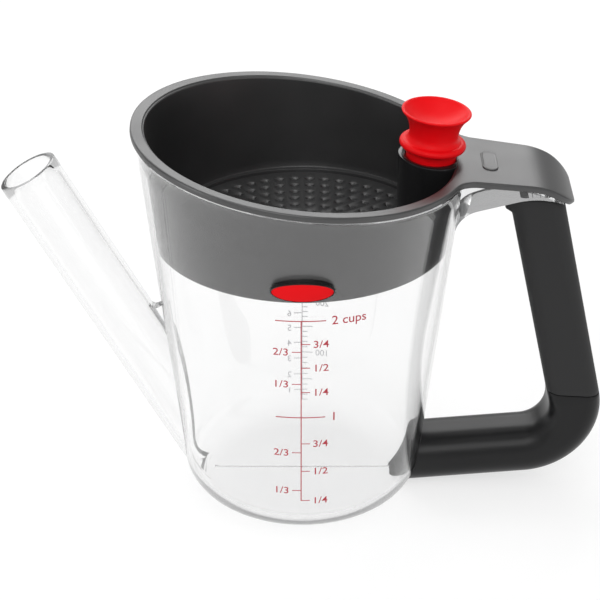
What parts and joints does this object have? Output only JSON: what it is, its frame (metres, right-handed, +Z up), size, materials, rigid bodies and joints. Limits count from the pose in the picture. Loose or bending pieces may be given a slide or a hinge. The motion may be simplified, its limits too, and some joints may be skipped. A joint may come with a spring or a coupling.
{
  "type": "gravy fat separator",
  "caption": "Clear measuring cup with a low straight pouring spout, a lift-out strainer with a thumb tail, a stored stopper and a black L-shaped handle.",
  "frame": {"origin": "middle of the cup's foot, on the table", "axes": "+Z up, +X to the handle, -X to the spout, -Y the side with the measuring scale"},
  "size_m": [0.1955, 0.1064, 0.1365],
  "materials": {
    "clear_plastic": "clear gloss plastic",
    "black_satin": "satin",
    "grip_rubber": "matte soft touch",
    "core_plastic": "plain",
    "red_rubber": "soft satin"
  },
  "bodies": {
    "cup": {"cup_bowl": "clear_plastic", "spout_tube": "clear_plastic", "upper_arm": "clear_plastic", "handle_core": "core_plastic", "lower_arm": "black_satin", "grip_sleeve": "grip_rubber", "badge_backing": "black_satin", "badge_inlay": "red_rubber"},
    "strainer": {"strainer_basket": "black_satin", "strainer_rim": "black_satin", "strainer_tail": "black_satin", "strainer_grille": "black_satin", "stopper_pocket": "black_satin", "tail_pad": "black_satin"},
    "stopper": {"stopper": "red_rubber"}
  },
  "joints": [
    {"name": "strainer_lift", "type": "slide", "parent": "cup", "child": "strainer", "axis": [0, 0, 1], "range_m": [0, 0.06]},
    {"name": "stopper_pull", "type": "slide", "parent": "strainer", "child": "stopper", "axis": [0.0872, 0, 0.9962], "range_m": [0, 0.03]}
  ]
}
